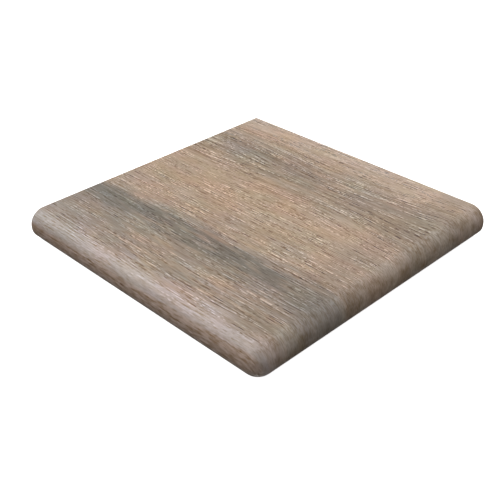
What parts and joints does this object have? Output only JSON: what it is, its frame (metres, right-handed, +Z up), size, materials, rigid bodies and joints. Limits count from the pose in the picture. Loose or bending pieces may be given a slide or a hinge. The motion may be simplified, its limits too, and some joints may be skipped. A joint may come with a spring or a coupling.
{
  "type": "stair corner tile",
  "caption": "Square wood-look porcelain stair tile with full-round noses on adjoining edges that meet in a ball corner; its keyed underside beds on the outer corner of a step.",
  "frame": {"origin": "centre of the square plan, on the plane of the noses' feet", "axes": "+Z up out of the walking surface, the front nose faces -Y with the wood grain along X, and the side nose faces +X"},
  "size_m": [0.33, 0.33, 0.035],
  "materials": {
    "wood_look_porcelain": "satin"
  },
  "bodies": {
    "root": {"stair_corner_tile": "wood_look_porcelain"}
  },
  "joints": []
}
